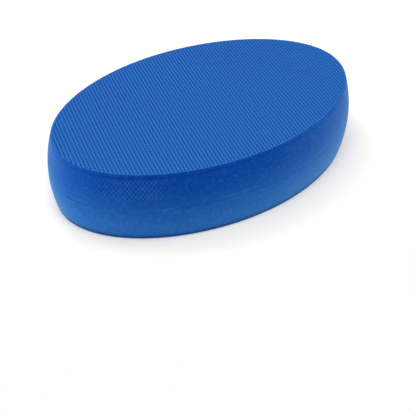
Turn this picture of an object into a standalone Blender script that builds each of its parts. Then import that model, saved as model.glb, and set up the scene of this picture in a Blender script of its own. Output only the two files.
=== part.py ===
"""Oval balance pad: a laminate of closed-cell foam.

Two thick foam slabs are bonded face to face, and a thin grip sheet is bonded over each outer face.
Metres, +Z up. The origin is the centre of the underside, and the long axis of the oval runs along X.
"""
import math

import bmesh
import bpy

# The whole pad
LENGTH = 0.300
WIDTH = 0.200
HEIGHT = 0.060
OUTLINE_POWER = 1.96        # 2 would be a true ellipse; a little less draws its shoulders in

# The layers, from the outside in
SHEET_THICKNESS = 0.0025
FILM_THICKNESS = 0.0004
GAP = 0.0003                # between the faces of neighbouring layers
FILM_COUNT = 3
LAYERS_TAKEN = 2 * SHEET_THICKNESS + FILM_COUNT * FILM_THICKNESS + 2 * FILM_COUNT * GAP
SLAB_THICKNESS = (HEIGHT - LAYERS_TAKEN) / 2

# The side wall, which is widest at the seam between the slabs
TOP_DRAW_IN = 0.0045        # how far the wall has come in at the top face
BOTTOM_DRAW_IN = 0.0050     # and at the underside

# Edges
LIP_RADIUS = 0.0012         # the rounded outer edge of a grip sheet
SHOULDER_RADIUS = 0.0015    # a slab's edge in the crease under a grip sheet
SEAM_RADIUS = 0.0006        # a slab's edge at the seam
SHEET_BACK_RADIUS = 0.0004  # a grip sheet's edge at its bonded side
FILM_RECESS = 0.0015        # how far a film stays behind the wall

# Facets
OUTLINE_POINTS = 120
ARC_STEPS = 3
WALL_ROWS = 3
SMOOTH_ANGLE = math.radians(30)

FOAM_BLUE = (0.022, 0.125, 0.470)
SHEET_BLUE = (0.026, 0.135, 0.490)
FILM_BLUE = (0.010, 0.055, 0.240)


def clear_scene():
    for thing in list(bpy.data.objects):
        bpy.data.objects.remove(thing, do_unlink=True)


def material(name, colour, roughness):
    """A plain, non-metallic Principled material."""
    made = bpy.data.materials.new(name)
    made.use_nodes = True
    shader = made.node_tree.nodes["Principled BSDF"]
    shader.inputs["Base Color"].default_value = (*colour, 1.0)
    shader.inputs["Roughness"].default_value = roughness
    shader.inputs["Metallic"].default_value = 0.0
    made.diffuse_color = (*colour, 1.0)
    return made


def signed_power(value, power):
    return math.copysign(abs(value) ** power, value)


def oval_points(inset):
    """The pad's outline in plan, drawn in along its normals by the inset."""
    half_length = LENGTH / 2
    half_width = WIDTH / 2
    points = []
    for step in range(OUTLINE_POINTS):
        turn = 2 * math.pi * step / OUTLINE_POINTS
        x = half_length * signed_power(math.cos(turn), 2 / OUTLINE_POWER)
        y = half_width * signed_power(math.sin(turn), 2 / OUTLINE_POWER)
        slope_x = signed_power(x / half_length, OUTLINE_POWER - 1) / half_length
        slope_y = signed_power(y / half_width, OUTLINE_POWER - 1) / half_width
        slope = math.hypot(slope_x, slope_y)
        points.append((x - inset * slope_x / slope, y - inset * slope_y / slope))
    return points


def wall_draw_in(z):
    """How far the side wall lies inside the widest outline at a height: a shallow bulge."""
    middle = HEIGHT / 2
    rise = (z - middle) / middle
    draw_in = TOP_DRAW_IN if rise > 0 else BOTTOM_DRAW_IN
    return draw_in * rise ** 2


def layer_profile(z_low, z_high, low_radius, high_radius):
    """The (inset, z) points up a layer's edge: lower round, bulging wall, upper round."""
    profile = []
    for step in range(ARC_STEPS):
        angle = math.pi / 2 * (1 - step / ARC_STEPS)
        z = z_low + low_radius * (1 - math.sin(angle))
        profile.append((wall_draw_in(z) + low_radius * (1 - math.cos(angle)), z))
    wall_low = z_low + low_radius
    wall_high = z_high - high_radius
    for row in range(WALL_ROWS + 1):
        z = wall_low + (wall_high - wall_low) * row / WALL_ROWS
        profile.append((wall_draw_in(z), z))
    for step in range(1, ARC_STEPS + 1):
        angle = math.pi / 2 * step / ARC_STEPS
        z = wall_high + high_radius * math.sin(angle)
        profile.append((wall_draw_in(z) + high_radius * (1 - math.cos(angle)), z))
    return profile


def oval_solid(name, profile, finish):
    """A closed solid whose edge follows the profile all the way round the oval."""
    mesh = bmesh.new()
    rings = []
    for inset, z in profile:
        rings.append([mesh.verts.new((x, y, z)) for x, y in oval_points(inset)])
    for lower, upper in zip(rings, rings[1:]):
        for here in range(OUTLINE_POINTS):
            ahead = (here + 1) % OUTLINE_POINTS
            mesh.faces.new((lower[here], lower[ahead], upper[ahead], upper[here]))
    mesh.faces.new(list(reversed(rings[0])))
    mesh.faces.new(rings[-1])
    bmesh.ops.recalc_face_normals(mesh, faces=mesh.faces)
    data = bpy.data.meshes.new(name)
    mesh.to_mesh(data)
    mesh.free()
    data.shade_smooth()
    data.set_sharp_from_angle(angle=SMOOTH_ANGLE)
    data.materials.append(finish)
    made = bpy.data.objects.new(name, data)
    bpy.context.scene.collection.objects.link(made)
    return made


def bottom_grip_sheet(z, finish):
    """The embossed sheet that the pad lies on, its rounded edge down."""
    top = z + SHEET_THICKNESS
    profile = layer_profile(z, top, LIP_RADIUS, SHEET_BACK_RADIUS)
    oval_solid("bottom_grip_sheet", profile, finish)
    return top


def lower_foam_slab(z, finish):
    top = z + SLAB_THICKNESS
    profile = layer_profile(z, top, SHOULDER_RADIUS, SEAM_RADIUS)
    oval_solid("lower_foam_slab", profile, finish)
    return top


def upper_foam_slab(z, finish):
    top = z + SLAB_THICKNESS
    profile = layer_profile(z, top, SEAM_RADIUS, SHOULDER_RADIUS)
    oval_solid("upper_foam_slab", profile, finish)
    return top


def top_grip_sheet(z, finish):
    """The embossed sheet that a foot stands on, its rounded edge up."""
    top = z + SHEET_THICKNESS
    profile = layer_profile(z, top, SHEET_BACK_RADIUS, LIP_RADIUS)
    oval_solid("top_grip_sheet", profile, finish)
    return top


def bond_film(name, z, finish):
    """A film of hot-melt adhesive, a gap away from the layers below and above it."""
    low = z + GAP
    high = low + FILM_THICKNESS
    profile = [(wall_draw_in(low) + FILM_RECESS, low), (wall_draw_in(high) + FILM_RECESS, high)]
    oval_solid(name, profile, finish)
    return high + GAP


def build():
    clear_scene()
    foam = material("foam", FOAM_BLUE, 0.75)
    sheet = material("grip_sheet", SHEET_BLUE, 0.62)
    film = material("bond_film", FILM_BLUE, 0.35)
    z = bottom_grip_sheet(0.0, sheet)
    z = bond_film("bottom_bond_film", z, film)
    z = lower_foam_slab(z, foam)
    z = bond_film("centre_bond_film", z, film)
    z = upper_foam_slab(z, foam)
    z = bond_film("top_bond_film", z, film)
    top_grip_sheet(z, sheet)


build()
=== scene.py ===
"""Looks of the oval balance pad: embossed grip sheets on two foam slabs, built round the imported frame."""
import math

import bpy
import numpy as np
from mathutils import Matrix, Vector, noise
from mathutils.geometry import delaunay_2d_cdt
from mathutils.kdtree import KDTree


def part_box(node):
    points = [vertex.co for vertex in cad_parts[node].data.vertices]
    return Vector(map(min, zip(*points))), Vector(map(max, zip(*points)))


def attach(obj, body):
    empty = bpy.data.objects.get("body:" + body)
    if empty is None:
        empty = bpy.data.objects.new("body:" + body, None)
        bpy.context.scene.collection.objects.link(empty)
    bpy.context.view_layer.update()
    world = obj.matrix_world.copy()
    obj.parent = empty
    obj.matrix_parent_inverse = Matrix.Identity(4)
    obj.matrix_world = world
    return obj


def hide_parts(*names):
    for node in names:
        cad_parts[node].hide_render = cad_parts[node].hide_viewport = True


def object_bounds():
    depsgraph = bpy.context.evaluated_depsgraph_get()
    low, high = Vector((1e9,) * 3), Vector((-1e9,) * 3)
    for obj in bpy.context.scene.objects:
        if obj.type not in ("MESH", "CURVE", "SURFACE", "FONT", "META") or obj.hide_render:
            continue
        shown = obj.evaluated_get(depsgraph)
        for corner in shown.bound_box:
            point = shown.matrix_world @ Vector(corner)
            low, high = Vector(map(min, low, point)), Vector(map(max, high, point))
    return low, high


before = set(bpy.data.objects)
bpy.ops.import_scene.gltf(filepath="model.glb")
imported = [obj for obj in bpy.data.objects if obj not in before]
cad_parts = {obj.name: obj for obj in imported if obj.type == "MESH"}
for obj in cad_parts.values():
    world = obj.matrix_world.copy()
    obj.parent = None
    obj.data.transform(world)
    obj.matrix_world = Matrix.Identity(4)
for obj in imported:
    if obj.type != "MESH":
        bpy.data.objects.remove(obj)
cad_low, cad_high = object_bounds()

MM = 0.001

# The outline, its size read from the frame
HALF_LENGTH = (cad_high.x - cad_low.x) / 2
HALF_WIDTH = (cad_high.y - cad_low.y) / 2
HEIGHT = cad_high.z - cad_low.z
SEAM_Z = HEIGHT / 2
CREASE_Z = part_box("top_grip_sheet")[0].z - 0.5 * MM     # just under the top sheet
OUTLINE_POWER = 1.96                # 2 would be a true ellipse
OUTLINE_SAMPLES = 20001             # close enough together to measure along the outline
TOP_DRAW_IN = 4.5 * MM              # how far the wall has come in at the top face
BOTTOM_DRAW_IN = 5.0 * MM           # and at the underside

# Grip sheets
TOP_LIP_RADIUS = 0.7 * MM           # the sheet's outer edge
FOOT_LIP_RADIUS = 1.2 * MM
LIP_STEPS = 7
SHEET_BACK_RADIUS = 0.25 * MM       # its edge on the glued side
BACK_STEPS = 3
RIM_POINTS = 1000                   # mesh points round the edge
INSET_SAMPLES = 3000                # points round the outline that insets are measured from
RIM_WOBBLE = 0.05 * MM              # the edge was cut unevenly, to at most twice this inside the wall
RIM_WOBBLE_SIZE = 0.03
RIM_WOBBLE_STEPS = 3                # the unevenness grows over the first steps of the lip
RIM_WOBBLE_SEEDS = {"top": 6, "bottom": 7}
LIP_FLAT = 0.15 * MM                # smooth flat band between the emboss and the rounded lip
FACE_SWAY = 0.15 * MM               # the face dips gently, to at most twice this deep
FACE_SWAY_SIZE = 0.07
FACE_SWAY_START = 12 * MM           # the sway grows to its full size over this, from the border in
FACE_SWAY_SEEDS = {"top": 3, "bottom": 4}

# The emboss on them
PIT_PITCH = 3.4 * MM                # from one pit to the next, in rows that touch like honeycomb
PIT_ROW = PIT_PITCH * math.sqrt(0.75)
PIT_TURN = math.radians(7.0)        # the sheet was cut a little askew to its rows of pits
PIT_CROSS = 0.36                    # how strongly the ridges between the grooves are cross-linked
PIT_RIDGE_AT = -0.55                # the wave below this is flat ridge
PIT_FLOOR_AT = 0.95                 # and above this it is flat pit
PIT_DEPTH = 1.05 * MM
PIT_STEPS = 4                       # mesh points from one pit to the next
PIT_FADE = 0.35 * MM                # the pits grow to their full depth over this, from the border in
PIT_CLEAR = 0.30 * MM               # no mesh point of the pits lies nearer to the border

# Foam slabs
SHOULDER_RADIUS = 0.65 * MM         # a slab's edge at a grip sheet
SEAM_RADIUS = 0.20 * MM             # and at the seam
EDGE_STEPS = 4
SEAM_GAP = 0.05 * MM                # open gap between the slabs at the wall, in front of the film
CREASE_GAP = 0.06 * MM              # and between a slab and a grip sheet
ROLL_DEPTH = 1.10 * MM              # how deep the foam's edge covers the film
ROLL_BACK = 0.12 * MM
WALL_INSIDE = 0.10 * MM             # how far the wall's middle course lies inside the CAD wall
WALL_SWAY = 0.14 * MM               # how far it rises and dips from there
WALL_SWAY_SIZE = 0.035
WALL_SWAY_SEED = 9

# The fine net on their wall
NET_CELLS = 228                     # net diamonds round the wall
NET_HEIGHT = 4.3 * MM
NET_STEPS = 7                       # mesh columns and rows to one diamond
WALL_COLUMNS = NET_CELLS * NET_STEPS
NET_SHARPNESS = 12                  # how thin its lines are
NET_RELIEF = 0.20 * MM
UPPER_NET = 1.0                     # share of that relief on the upper slab
LOWER_NET = 0.5                     # and on the lower one
NET_FADE = 1.2 * MM                 # the net grows to its full strength over this, from a slab's edge
NET_END_ROW = 0.4                   # least height of the mesh row at a slab's edge, in whole rows
NET_LOW_SHARE = 0.3                 # its strength low on the wall
NET_LOW_BELOW = 0.50 * HEIGHT
NET_FULL_ABOVE = 0.72 * HEIGHT
NET_PLAIN_SHARE = 0.28              # its strength between the patches where it is strong
NET_PATCH_SIZE = 0.05
NET_PATCH_FROM = 0.05               # the noise that a patch starts at
NET_PATCH_FULL = 0.80               # and is at full strength at
NET_PATCH_SHIFT = (0.0097, -0.0087)     # puts a patch on the wall's -X, -Y side
NET_PATCH_SEED = 748


def smoothstep(value, low, high):
    t = np.clip((value - low) / (high - low), 0.0, 1.0)
    return t * t * (3 - 2 * t)


def signed_power(values, power):
    return np.sign(values) * np.abs(values) ** power


def oval(count):
    """Points and outward normals at equal steps round the widest outline."""
    turn = np.linspace(0, 2 * np.pi, OUTLINE_SAMPLES)
    x = HALF_LENGTH * signed_power(np.cos(turn), 2 / OUTLINE_POWER)
    y = HALF_WIDTH * signed_power(np.sin(turn), 2 / OUTLINE_POWER)
    run = np.concatenate([[0.0], np.cumsum(np.hypot(np.diff(x), np.diff(y)))])
    even = np.linspace(0, run[-1], count, endpoint=False)
    points = np.stack([np.interp(even, run, x), np.interp(even, run, y)], 1)
    slope_x = signed_power(points[:, 0] / HALF_LENGTH, OUTLINE_POWER - 1) / HALF_LENGTH
    slope_y = signed_power(points[:, 1] / HALF_WIDTH, OUTLINE_POWER - 1) / HALF_WIDTH
    normals = np.stack([slope_x, slope_y], 1)
    normals /= np.linalg.norm(normals, axis=1)[:, None]
    return points, normals


def draw_in(z):
    """How far the side wall lies inside the widest outline at a height."""
    rise = (z - SEAM_Z) / SEAM_Z
    return np.where(rise > 0, TOP_DRAW_IN, BOTTOM_DRAW_IN) * rise ** 2


def soft_noise(points, size, seed):
    """Smooth noise from -1 to 1 at each point, with features of about that size."""
    shift = Vector((seed * 17.3, seed * 5.1, seed * 9.7))
    return np.array([noise.noise(Vector(p) / size + shift) for p in points])


def new_object(name, points, faces, relief, finish, edge_finish=None, edge_start=0):
    """A smooth mesh object that also keeps its relief, 0 low to 1 high, for its material.

    The faces from edge_start on take the edge finish, if there is one.
    """
    data = bpy.data.meshes.new(name)
    data.from_pydata([tuple(p) for p in points], [], faces)
    data.update()
    data.attributes.new("relief", "FLOAT", "POINT").data.foreach_set("value", relief)
    data.shade_smooth()
    data.materials.append(finish)
    if edge_finish:
        data.materials.append(edge_finish)
        data.polygons.foreach_set("material_index", [int(i >= edge_start) for i in range(len(faces))])
    made = bpy.data.objects.new(name, data)
    bpy.context.scene.collection.objects.link(made)
    return made


def ring_faces(lower, upper):
    """Quads between two rings of as many points, facing outwards when upper is above."""
    count = len(lower)
    return [
        (lower[i], lower[(i + 1) % count], upper[(i + 1) % count], upper[i])
        for i in range(count)
    ]


# ---------------------------------------------------------------- grip sheets

def lattice_place(along, up):
    """A point given along and across the rows of pits, in the pad's own frame."""
    turn_x, turn_y = math.cos(PIT_TURN), math.sin(PIT_TURN)
    return along * turn_x - up * turn_y, along * turn_y + up * turn_x


def pit_share(x, y):
    """How deep the emboss is at a point: 0 on its ridges, 1 at the bottom of a pit.

    The pits lie in honeycomb order. They run together a little into grooves one way, so that the
    net between them has strong ridges that way, joined by lower links.
    """
    turn_x, turn_y = math.cos(PIT_TURN), math.sin(PIT_TURN)
    along = (x * turn_x + y * turn_y) / PIT_PITCH
    up = (y * turn_x - x * turn_y) / (2 * PIT_ROW)
    first = 2 * np.pi * (along - up)
    second = 2 * np.pi * (along + up)
    links = np.cos(second) + np.cos(second - first)
    wave = (np.cos(first) + PIT_CROSS * links) / (1 + 2 * PIT_CROSS)
    return smoothstep(wave, PIT_RIDGE_AT, PIT_FLOOR_AT)


def emboss_points(border):
    """Mesh points of the embossed field, in step with the pits, and how far in each one lies."""
    along = PIT_PITCH / PIT_STEPS
    up = PIT_ROW / PIT_STEPS
    rows = int(HALF_LENGTH / up) + 1
    columns = int(HALF_LENGTH / along) + 1
    points = []
    for row in range(-rows, rows + 1):
        shift = along / 2 * (row % 2)
        for column in range(-columns, columns + 1):
            points.append(lattice_place(column * along + shift, row * up))
    points = np.array(points)
    reach = (points[:, 0] / HALF_LENGTH) ** 2 + (points[:, 1] / HALF_WIDTH) ** 2
    points = points[reach < 1]
    outline, _ = oval(INSET_SAMPLES)
    tree = KDTree(len(outline))
    for index, (x, y) in enumerate(outline):
        tree.insert((x, y, 0.0), index)
    tree.balance()
    inset = np.array([tree.find((x, y, 0.0))[2] for x, y in points])
    keep = inset > border + PIT_CLEAR
    return points[keep], inset[keep]


def embossed_face(outer, facing, border, side):
    """A sheet's face inside its border, facing up (1) or down (-1).

    It gives the points, their relief, the faces, and the ring of points along the border.
    """
    outline, normals = oval(RIM_POINTS)
    field, field_inset = emboss_points(border)
    edge = outline - normals * border
    flat = [Vector(p) for p in edge] + [Vector(p) for p in field]
    places, _, triangles, origins, _, _ = delaunay_2d_cdt(flat, [], [list(range(RIM_POINTS))], 1, 1e-7)
    plan = np.array([tuple(place) for place in places])
    inset = np.full(len(plan), border)
    ring = [None] * RIM_POINTS
    for index, sources in enumerate(origins):
        for source in sources:
            if source < RIM_POINTS:
                ring[source] = index
            else:
                inset[index] = field_inset[source - RIM_POINTS]
    deep = pit_share(plan[:, 0], plan[:, 1]) * smoothstep(inset, border, border + PIT_FADE)
    sway = soft_noise([(x, y, 0.1) for x, y in plan], FACE_SWAY_SIZE, FACE_SWAY_SEEDS[side]) * FACE_SWAY
    sway = (sway - FACE_SWAY) * smoothstep(inset, border, border + FACE_SWAY_START)
    height = outer + facing * (sway - PIT_DEPTH * deep)
    points = np.column_stack([plan, height]).tolist()
    faces = [tuple(f) if facing > 0 else tuple(reversed(f)) for f in triangles]
    return points, (1 - deep).tolist(), faces, ring


def lip_profile(outer, inner, facing, lip_radius):
    """The (inset, z) points round a sheet's edge, from its embossed face to its glued side."""
    profile = [(float(draw_in(outer)) + lip_radius, outer)]
    for step in range(1, LIP_STEPS + 1):
        angle = math.pi / 2 * step / LIP_STEPS
        z = outer - facing * lip_radius * (1 - math.cos(angle))
        profile.append((float(draw_in(z)) + lip_radius * (1 - math.sin(angle)), z))
    for step in range(BACK_STEPS + 1):
        angle = math.pi / 2 * step / BACK_STEPS
        z = inner + facing * SHEET_BACK_RADIUS * (1 - math.sin(angle))
        profile.append((float(draw_in(z)) + SHEET_BACK_RADIUS * (1 - math.cos(angle)), z))
    return profile


def grip_sheet(name, node, side, lip_radius, finish, edge_finish):
    """An embossed sheet with a rounded lip, its emboss facing up on the top side, or else down."""
    corner_low, corner_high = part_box(node)
    upward = side == "top"
    outer, inner = (corner_high.z, corner_low.z) if upward else (corner_low.z, corner_high.z)
    facing = 1 if upward else -1
    border = float(draw_in(outer)) + lip_radius + LIP_FLAT
    points, relief, faces, ring = embossed_face(outer, facing, border, side)

    outline, normals = oval(RIM_POINTS)
    wobble = soft_noise([(x, y, outer) for x, y in outline], RIM_WOBBLE_SIZE, RIM_WOBBLE_SEEDS[side])
    for step, (inset, z) in enumerate(lip_profile(outer, inner, facing, lip_radius)):
        if step == 1:
            edge_start = len(faces)
        shift = inset + (wobble + 1) * RIM_WOBBLE * min(1.0, step / RIM_WOBBLE_STEPS)
        place = outline - normals * shift[:, None]
        start = len(points)
        points.extend((x, y, z) for x, y in place)
        # the flat band at the lip counts as high relief, so it takes the painted ridge highlight
        relief.extend([1.0 if step == 0 else 0.0] * RIM_POINTS)
        next_ring = list(range(start, start + RIM_POINTS))
        faces.extend(ring_faces(next_ring, ring) if upward else ring_faces(ring, next_ring))
        ring = next_ring
    faces.append(tuple(reversed(ring)) if upward else tuple(ring))
    return new_object(name, points, faces, relief, finish, edge_finish, edge_start)


# ---------------------------------------------------------------- foam slabs

def net_share(share, z):
    """The fine net on the wall: 1 on its thin raised lines, which cross in diamonds, 0 between."""
    round_phase = np.pi * NET_CELLS * share
    up_phase = np.pi * z / NET_HEIGHT
    first = np.abs(np.cos(round_phase + up_phase))
    second = np.abs(np.cos(round_phase - up_phase))
    return np.maximum(first, second) ** NET_SHARPNESS


def wall_faces(lower, upper, relief):
    """Triangles between two rings, each quad split along its higher diagonal so that ridges stay whole."""
    faces = []
    count = len(lower)
    for i in range(count):
        a, b = lower[i], lower[(i + 1) % count]
        c, d = upper[(i + 1) % count], upper[i]
        if relief[a] + relief[c] > relief[b] + relief[d]:
            faces.append((a, b, c))
            faces.append((a, c, d))
        else:
            faces.append((a, b, d))
            faces.append((b, c, d))
    return faces


def slab_rows(z_low, z_high, low_gap, high_gap, low_radius, high_radius):
    """The (inset behind the wall, z) rows up a slab's edge, and where its straight part starts and ends.

    The foam's edge rolls over the film that is glued behind it, so the slab is a little taller at
    the wall than further in, where the film lies.
    """
    wall_low = z_low - low_gap
    wall_high = z_high + high_gap
    rows = [(ROLL_DEPTH + ROLL_BACK, z_low), (ROLL_DEPTH, wall_low)]
    for step in range(EDGE_STEPS):
        angle = math.pi / 2 * (1 - step / EDGE_STEPS)
        rows.append((low_radius * (1 - math.cos(angle)), wall_low + low_radius * (1 - math.sin(angle))))
    row_height = NET_HEIGHT / NET_STEPS
    straight_low = wall_low + low_radius
    straight_high = wall_high - high_radius
    rows.append((0.0, straight_low))
    first = math.ceil(straight_low / row_height + NET_END_ROW)
    last = math.floor(straight_high / row_height - NET_END_ROW)
    for step in range(first, last + 1):
        rows.append((0.0, step * row_height))
    rows.append((0.0, straight_high))
    for step in range(1, EDGE_STEPS + 1):
        angle = math.pi / 2 * step / EDGE_STEPS
        rows.append((high_radius * (1 - math.cos(angle)), straight_high + high_radius * math.sin(angle)))
    rows.append((ROLL_DEPTH, wall_high))
    rows.append((ROLL_DEPTH + ROLL_BACK, z_high))
    return rows, straight_low, straight_high


def net_patches(outline):
    """How strong the net is at each point round the wall."""
    shift_x, shift_y = NET_PATCH_SHIFT
    places = [(x + shift_x, y + shift_y, 0.0) for x, y in outline]
    patch = smoothstep(soft_noise(places, NET_PATCH_SIZE, NET_PATCH_SEED), NET_PATCH_FROM, NET_PATCH_FULL)
    return NET_PLAIN_SHARE + (1 - NET_PLAIN_SHARE) * patch


def net_at_height(z, straight_low, straight_high):
    """How strong the net is at a height: weaker low on the wall, gone at a slab's rounded edges."""
    strength = smoothstep(z, straight_low, straight_low + NET_FADE)
    strength *= 1 - smoothstep(z, straight_high - NET_FADE, straight_high)
    strength *= NET_LOW_SHARE + (1 - NET_LOW_SHARE) * smoothstep(z, NET_LOW_BELOW, NET_FULL_ABOVE)
    return strength


def foam_slab(name, node, low_gap, high_gap, low_radius, high_radius, net_strength, finish):
    """A slab of foam with the net pressed into its wall."""
    corner_low, corner_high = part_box(node)
    rows, straight_low, straight_high = slab_rows(
        corner_low.z, corner_high.z, low_gap, high_gap, low_radius, high_radius)
    outline, normals = oval(WALL_COLUMNS)
    share = np.arange(WALL_COLUMNS) / WALL_COLUMNS
    patches = net_patches(outline)
    points = []
    faces = []
    relief = []
    ring = None
    for inset, z in rows:
        sway = soft_noise([(x, y, z) for x, y in outline], WALL_SWAY_SIZE, WALL_SWAY_SEED) * WALL_SWAY
        lines = net_share(share, z) * net_at_height(z, straight_low, straight_high) * patches
        shift = draw_in(z) + inset - NET_RELIEF * net_strength * lines - sway + WALL_INSIDE
        place = outline - normals * shift[:, None]
        start = len(points)
        points.extend((x, y, z) for x, y in place)
        # the net's raised lines take the foam's painted ridge highlight
        relief.extend((lines * net_strength).tolist())
        next_ring = list(range(start, start + WALL_COLUMNS))
        if ring is not None:
            faces.extend(wall_faces(ring, next_ring, relief))
        ring = next_ring
    faces.append(tuple(reversed(range(WALL_COLUMNS))))
    faces.append(tuple(ring))
    return new_object(name, points, faces, relief, finish)


# ---------------------------------------------------------------- materials

# Each pattern's scale, in features per metre
CLOUDS = 14.0
BLOTS = 310.0
GRAIN = 520.0
PORES = 1500.0
JOINT_PATCHES = 40.0
STREAKS = (26.0, 26.0, 640.0)       # long round the wall and thin up it
STRINGS = 260.0                     # in the adhesive

GLOSS_TINT = (0.0, 1.0, 1.0)

# Painted shade: the wall's colour is multiplied to a deeper blue towards its top
WALL_TOP_PAINTED_SHADE = (0.16, 0.47, 0.86)
TOP_SHADE_START, TOP_SHADE_FULL = 16 * MM, 46 * MM
# Painted shadow: the wall darkens over its last few millimetres, where it meets the table
WALL_FOOT_PAINTED_SHADOW = (0.08, 0.28, 0.42)
FOOT_SHADE_FULL, FOOT_SHADE_END = 0.5 * MM, 6.5 * MM
# Painted shade: dark, patchy lines in the crease under the top sheet and along the seam
JOINT_PAINTED_SHADE = (0.35, 0.62, 0.86)
JOINT_CORE = 0.2 * MM               # half the width of a joint's darkest line
JOINTS = (                          # each joint's height, how far its painted shade reaches, and how dark it is
    (SEAM_Z, 1.5 * MM, 0.5),
    (CREASE_Z, 0.9 * MM, 0.8),
)
STREAKS_FULL, STREAKS_REACH = 1.0 * MM, 5.0 * MM    # from the seam
STREAKS_SHARE = 0.5                 # how much of the ridge colour they take


class Nodes:
    """A short way to write a material's node tree."""

    def __init__(self, name):
        self.material = bpy.data.materials.new(name)
        self.material.use_nodes = True
        self.tree = self.material.node_tree
        self.shader = self.tree.nodes["Principled BSDF"]
        self.place = self.add("ShaderNodeTexCoord").outputs["Object"]

    def add(self, kind, **settings):
        node = self.tree.nodes.new(kind)
        for key, value in settings.items():
            setattr(node, key, value)
        return node

    def link(self, output, target):
        self.tree.links.new(output, target)

    def stretched(self, scale):
        node = self.add("ShaderNodeMapping")
        node.inputs["Scale"].default_value = scale
        self.link(self.place, node.inputs["Vector"])
        return node.outputs["Vector"]

    def noise(self, scale, detail=3.0, roughness=0.5, vector=None):
        node = self.add("ShaderNodeTexNoise")
        node.inputs["Scale"].default_value = scale
        node.inputs["Detail"].default_value = detail
        node.inputs["Roughness"].default_value = roughness
        self.link(vector or self.place, node.inputs["Vector"])
        return node.outputs["Fac"]

    def cells(self, scale):
        node = self.add("ShaderNodeTexVoronoi")
        node.inputs["Scale"].default_value = scale
        self.link(self.place, node.inputs["Vector"])
        return node.outputs["Distance"]

    def relief(self):
        return self.add("ShaderNodeAttribute", attribute_name="relief").outputs["Fac"]

    def height(self):
        node = self.add("ShaderNodeSeparateXYZ")
        self.link(self.place, node.inputs["Vector"])
        return node.outputs["Z"]

    def ranged(self, value, low, high, to_low, to_high):
        node = self.add("ShaderNodeMapRange")
        for key, number in zip(("From Min", "From Max", "To Min", "To Max"), (low, high, to_low, to_high)):
            node.inputs[key].default_value = number
        self.link(value, node.inputs["Value"])
        return node.outputs["Result"]

    def blend(self, factor, first, second, mode="MIX"):
        """The first colour where the factor is 0, blended with the second one where it is 1."""
        node = self.add("ShaderNodeMix", data_type="RGBA", blend_type=mode)
        sockets = {socket.name: socket for socket in node.inputs if socket.enabled}
        self.link(factor, sockets["Factor"])
        for key, colour in (("A", first), ("B", second)):
            if isinstance(colour, tuple):
                sockets[key].default_value = (*colour, 1.0)
            else:
                self.link(colour, sockets[key])
        return [socket for socket in node.outputs if socket.enabled][0]

    def maths(self, operation, first, second):
        """One sum of a socket and a second socket or number."""
        node = self.add("ShaderNodeMath", operation=operation)
        self.link(first, node.inputs[0])
        if hasattr(second, "links"):
            self.link(second, node.inputs[1])
        else:
            node.inputs[1].default_value = second
        return node.outputs[0]

    def away_from(self, value, level):
        return self.maths("ABSOLUTE", self.maths("SUBTRACT", value, level), 0.0)

    def bump(self, height, distance, strength, before=None):
        node = self.add("ShaderNodeBump")
        node.inputs["Strength"].default_value = strength
        node.inputs["Distance"].default_value = distance
        self.link(height, node.inputs["Height"])
        if before is not None:
            self.link(before, node.inputs["Normal"])
        return node.outputs["Normal"]


def wall_painted_shade_and_streaks(n, colour, ridge):
    """Painted shade: deeper blue towards the wall's top and at its foot, and dark patchy lines at the
    joints; light streaks by the seam.
    """
    height = n.height()
    # painted shade, deeper towards the wall's top
    top = n.ranged(height, TOP_SHADE_START, TOP_SHADE_FULL, 0.0, 1.0)
    colour = n.blend(top, colour, WALL_TOP_PAINTED_SHADE, "MULTIPLY")
    # painted shadow at the wall's foot
    foot_shadow_mask = n.ranged(height, FOOT_SHADE_FULL, FOOT_SHADE_END, 1.0, 0.0)
    colour = n.blend(foot_shadow_mask, colour, WALL_FOOT_PAINTED_SHADOW, "MULTIPLY")
    # patchy painted shade along the joints
    patchy = n.ranged(n.noise(JOINT_PATCHES, 2.0, 0.5), 0.40, 0.60, 0.15, 1.0)
    for joint_z, reach, darkness in JOINTS:
        near = n.ranged(n.away_from(height, joint_z), JOINT_CORE, reach, darkness, 0.0)
        colour = n.blend(n.maths("MULTIPLY", near, patchy), colour, JOINT_PAINTED_SHADE, "MULTIPLY")
    streaks = n.ranged(n.noise(1.0, 3.0, 0.6, n.stretched(STREAKS)), 0.54, 0.68, 0.0, 1.0)
    near_seam = n.ranged(n.away_from(height, SEAM_Z), STREAKS_FULL, STREAKS_REACH, STREAKS_SHARE, 0.0)
    return n.blend(n.maths("MULTIPLY", streaks, near_seam), colour, ridge)


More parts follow.
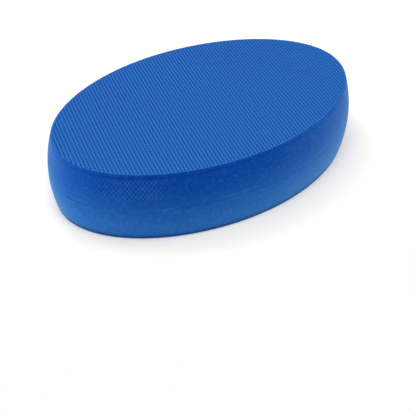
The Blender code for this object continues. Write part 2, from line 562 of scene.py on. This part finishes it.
def foam_skin(name, deep, plain, light, ridge, pit_painted_shade, ridge_painted_highlight, mottle, roughness, gloss, sheen, wall):
    """Closed-cell foam with a fine skin: mottled blue, pin-prick pores and a dull sheen.

    pit_painted_shade says how much of the deep colour the low parts of the relief take, as painted shade,
    and ridge_painted_highlight how much of the ridge colour the high parts take, as a painted highlight. A
    wall also has the painted shade that goes with its height.
    """
    n = Nodes(name)
    relief = n.relief()
    clouds = n.noise(CLOUDS, 4.0, 0.55)
    blots = n.noise(BLOTS, 3.0, 0.6)
    grain = n.noise(GRAIN, 3.0, 0.6)
    pores = n.cells(PORES)
    colour = n.blend(n.ranged(clouds, 0.30, 0.70, 0.0, 0.30), plain, light)
    if wall:
        colour = wall_painted_shade_and_streaks(n, colour, ridge)
    colour = n.blend(n.ranged(blots, 0.50, 0.72, 0.0, mottle), colour, light)
    colour = n.blend(n.ranged(blots, 0.28, 0.50, mottle, 0.0), colour, deep)
    colour = n.blend(n.ranged(grain, 0.35, 0.65, 0.0, 0.35), colour, deep)
    # painted shade down in the relief's low parts, and a painted highlight on its high parts
    colour = n.blend(n.ranged(relief, 0.0, 0.6, pit_painted_shade, 0.0), colour, deep)
    colour = n.blend(n.ranged(relief, 0.4, 1.0, 0.0, ridge_painted_highlight), colour, ridge)
    colour = n.blend(n.ranged(pores, 0.0, 0.22, 0.30, 0.0), colour, deep)
    n.link(colour, n.shader.inputs["Base Color"])
    patchy = n.maths("ADD", n.ranged(clouds, 0.3, 0.7, roughness - 0.06, roughness + 0.06),
                   n.ranged(grain, 0.3, 0.7, -0.05, 0.05))
    n.link(patchy, n.shader.inputs["Roughness"])
    normal = n.bump(blots, 0.25 * MM, 0.35)
    normal = n.bump(grain, 0.10 * MM, 0.45, normal)
    normal = n.bump(pores, 0.05 * MM, 0.40, normal)
    n.link(normal, n.shader.inputs["Normal"])
    n.shader.inputs["Specular IOR Level"].default_value = gloss
    n.shader.inputs["Specular Tint"].default_value = (*GLOSS_TINT, 1.0)
    n.shader.inputs["Sheen Weight"].default_value = sheen
    n.shader.inputs["Sheen Roughness"].default_value = 0.5
    n.shader.inputs["Sheen Tint"].default_value = (*GLOSS_TINT, 1.0)
    return n.material


def sheet_material():
    """The embossed sheets: deep blue down in the pits and lighter on the ridges, as painted shade and a
    painted highlight over the relief.
    """
    return foam_skin(
        "grip_sheet_look",
        deep=(0.000, 0.030, 0.265), plain=(0.003, 0.074, 0.378),
        light=(0.014, 0.112, 0.458), ridge=(0.044, 0.175, 0.560),
        pit_painted_shade=0.85, ridge_painted_highlight=0.80, mottle=0.10,
        roughness=0.52, gloss=0.24, sheen=0.03, wall=False)


def foam_material():
    """The slabs' wall and the sheets' cut edges: a lighter, duller blue, more mottled, with the wall's
    painted shade.
    """
    return foam_skin(
        "foam_look",
        deep=(0.006, 0.066, 0.365), plain=(0.018, 0.130, 0.525),
        light=(0.045, 0.196, 0.640), ridge=(0.050, 0.215, 0.690),
        pit_painted_shade=0.0, ridge_painted_highlight=0.52, mottle=0.30,
        roughness=0.45, gloss=0.10, sheen=0.17, wall=True)


def film_material():
    """Hot-melt adhesive: darker and a little glossy, seen only down in the seams."""
    n = Nodes("bond_film_look")
    strings = n.noise(STRINGS, 3.0, 0.6)
    colour = n.blend(n.ranged(strings, 0.3, 0.7, 0.0, 1.0), (0.004, 0.03, 0.16), (0.010, 0.06, 0.26))
    n.link(colour, n.shader.inputs["Base Color"])
    n.link(n.ranged(strings, 0.3, 0.7, 0.3, 0.5), n.shader.inputs["Roughness"])
    n.link(n.bump(strings, 0.1 * MM, 0.5), n.shader.inputs["Normal"])
    return n.material


# ---------------------------------------------------------------- the pad

def build_pad():
    sheet = sheet_material()
    foam = foam_material()
    bottom_sheet_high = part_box("bottom_grip_sheet")[1].z
    lower_low, lower_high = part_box("lower_foam_slab")
    upper_low, upper_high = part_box("upper_foam_slab")
    top_sheet_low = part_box("top_grip_sheet")[0].z
    bottom_roll = lower_low.z - bottom_sheet_high - CREASE_GAP
    seam_roll = (upper_low.z - lower_high.z - SEAM_GAP) / 2
    top_roll = top_sheet_low - upper_high.z - CREASE_GAP
    made = {
        "pad_top_sheet": grip_sheet("pad_top_sheet", "top_grip_sheet", "top",
                                    TOP_LIP_RADIUS, sheet, foam),
        "pad_bottom_sheet": grip_sheet("pad_bottom_sheet", "bottom_grip_sheet", "bottom",
                                       FOOT_LIP_RADIUS, sheet, foam),
        "pad_upper_foam": foam_slab("pad_upper_foam", "upper_foam_slab", seam_roll, top_roll,
                                    SEAM_RADIUS, SHOULDER_RADIUS, UPPER_NET, foam),
        "pad_lower_foam": foam_slab("pad_lower_foam", "lower_foam_slab", bottom_roll, seam_roll,
                                    SHOULDER_RADIUS, SEAM_RADIUS, LOWER_NET, foam),
    }
    stands_for = {
        "pad_top_sheet": ("top_grip_sheet", "grip_sheet"),
        "pad_bottom_sheet": ("bottom_grip_sheet", "grip_sheet"),
        "pad_upper_foam": ("upper_foam_slab", "foam"),
        "pad_lower_foam": ("lower_foam_slab", "foam"),
    }
    for name, (node, slot) in stands_for.items():
        piece = made[name]
        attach(piece, "root")
        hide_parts(node)
    film = film_material()
    for name in ("top_bond_film", "centre_bond_film", "bottom_bond_film"):
        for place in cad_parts[name].material_slots:
            place.material = film


# ---------------------------------------------------------------- studio

CAMERA_TURN = math.radians(-41.93)      # round the pad from the middle of its long side
CAMERA_RISE = math.radians(34.65)
CAMERA_DISTANCE = 0.7861
CAMERA_TARGET = Vector((-0.0779, -0.0905, HEIGHT / 2))
CAMERA_LENS = 88.21

TABLE_FRONT = 85 * MM                   # from the pad to the table's front edge
TABLE_TURN = math.radians(25)           # how far that edge is turned to the camera's right
TABLE_REACH = 0.55                      # from the pad's middle to the other edges
TABLE_DROP = 0.05 * MM                  # how far its top lies below the pad
TABLE_COLOUR = (0.86, 0.825, 0.745)     # a little warm, against the pad's blue light on it
TABLE_PAINTED_GLOW = 0.27                       # the table glows, painted light that also lights the pad's wall from below
ROOM_LIGHT = 0.0                        # the backdrop is white to the camera, and lights nothing

# Each softbox: its place across, along and above as the camera looks, in metres from the middle of
# the pad's top, its width and height, and its power in watts
SOFTBOXES = [
    ("overhead", (0.0, 0.25, 1.5), 1.6, 1.6, 7.0),
    ("left_overhead", (-0.7, 0.6, 1.3), 1.0, 1.0, 7.5),
    ("back_overhead", (0.0, 0.8, 1.4), 1.2, 1.2, 4.1),
    ("front_overhead", (0.0, -0.8, 1.3), 1.2, 0.8, 10.2),
    ("left_front", (-1.1, -0.9, 0.5), 0.9, 0.8, 3.5),
    ("left_low", (-1.5, 0.1, 0.22), 0.8, 0.4, 8.4),
    ("right_middle", (1.4, 0.2, 0.55), 0.8, 0.7, 7.5),
    ("right_front", (1.1, -0.9, 0.5), 0.9, 0.8, 1.6),
    ("right_low", (1.5, 0.1, 0.22), 0.8, 0.4, 1.1),
]

# The camera's own directions, level with the floor
FORWARD = Vector((-math.sin(CAMERA_TURN), math.cos(CAMERA_TURN), 0.0))
RIGHT = Vector((math.cos(CAMERA_TURN), math.sin(CAMERA_TURN), 0.0))
UP = Vector((0.0, 0.0, 1.0))


def make_camera():
    data = bpy.data.cameras.new("studio_camera")
    data.lens = CAMERA_LENS
    data.sensor_width = 36.0
    data.clip_start = 0.05
    data.clip_end = 50.0
    cam = bpy.data.objects.new("studio_camera", data)
    bpy.context.scene.collection.objects.link(cam)
    back = UP * math.sin(CAMERA_RISE) - FORWARD * math.cos(CAMERA_RISE)
    cam.location = CAMERA_TARGET + back * CAMERA_DISTANCE
    cam.rotation_mode = "QUATERNION"
    cam.rotation_quaternion = (-back).to_track_quat("-Z", "Y")
    bpy.context.scene.camera = cam


def table_material():
    """Plain and pale, with a faint glow: painted light."""
    n = Nodes("studio_table_look")
    n.shader.inputs["Base Color"].default_value = (*TABLE_COLOUR, 1.0)
    n.shader.inputs["Roughness"].default_value = 0.9
    n.shader.inputs["Specular IOR Level"].default_value = 0.0
    n.shader.inputs["Emission Color"].default_value = (1.0, 1.0, 1.0, 1.0)
    n.shader.inputs["Emission Strength"].default_value = TABLE_PAINTED_GLOW
    return n.material


def make_table():
    """A small white table, with nothing beyond its edges but the backdrop."""
    outward = RIGHT * math.sin(TABLE_TURN) - FORWARD * math.cos(TABLE_TURN)
    along_edge = UP.cross(outward)
    front = math.hypot(HALF_LENGTH * outward.x, HALF_WIDTH * outward.y) + TABLE_FRONT
    corners = [outward * front - along_edge * TABLE_REACH, outward * front + along_edge * TABLE_REACH,
               (along_edge - outward) * TABLE_REACH, (-along_edge - outward) * TABLE_REACH]
    data = bpy.data.meshes.new("studio_table")
    data.from_pydata([tuple(c) for c in corners], [], [(0, 1, 2, 3)])
    data.materials.append(table_material())
    table = bpy.data.objects.new("studio_table", data)
    table.location.z = -TABLE_DROP
    bpy.context.scene.collection.objects.link(table)


def softbox(name, place, aim, width, height, power):
    data = bpy.data.lights.new(name, "AREA")
    data.shape = "RECTANGLE"
    data.size = width
    data.size_y = height
    data.energy = power
    lamp = bpy.data.objects.new(name, data)
    bpy.context.scene.collection.objects.link(lamp)
    lamp.location = place
    lamp.rotation_euler = (aim - place).to_track_quat("-Z", "Y").to_euler()


def make_backdrop():
    """White to the camera itself, and only ROOM_LIGHT strong to everything else."""
    world = bpy.data.worlds.new("studio")
    world.use_nodes = True
    bpy.context.scene.world = world
    tree = world.node_tree
    lighting = tree.nodes["Background"]
    seen = tree.nodes.new("ShaderNodeBackground")
    for background, strength in ((lighting, ROOM_LIGHT), (seen, 1.0)):
        background.inputs["Color"].default_value = (1.0, 1.0, 1.0, 1.0)
        background.inputs["Strength"].default_value = strength
    pick = tree.nodes.new("ShaderNodeMixShader")
    ray = tree.nodes.new("ShaderNodeLightPath")
    tree.links.new(ray.outputs["Is Camera Ray"], pick.inputs["Fac"])
    tree.links.new(lighting.outputs["Background"], pick.inputs[1])
    tree.links.new(seen.outputs["Background"], pick.inputs[2])
    tree.links.new(pick.outputs["Shader"], tree.nodes["World Output"].inputs["Surface"])


def make_studio():
    make_table()
    middle = UP * HEIGHT
    for name, (across, along, above), width, height, power in SOFTBOXES:
        place = middle + RIGHT * across + FORWARD * along + UP * above
        softbox(name, place, middle, width, height, power)
    make_backdrop()
    bpy.context.scene.view_settings.view_transform = "Standard"


make_camera()
build_pad()
make_studio()
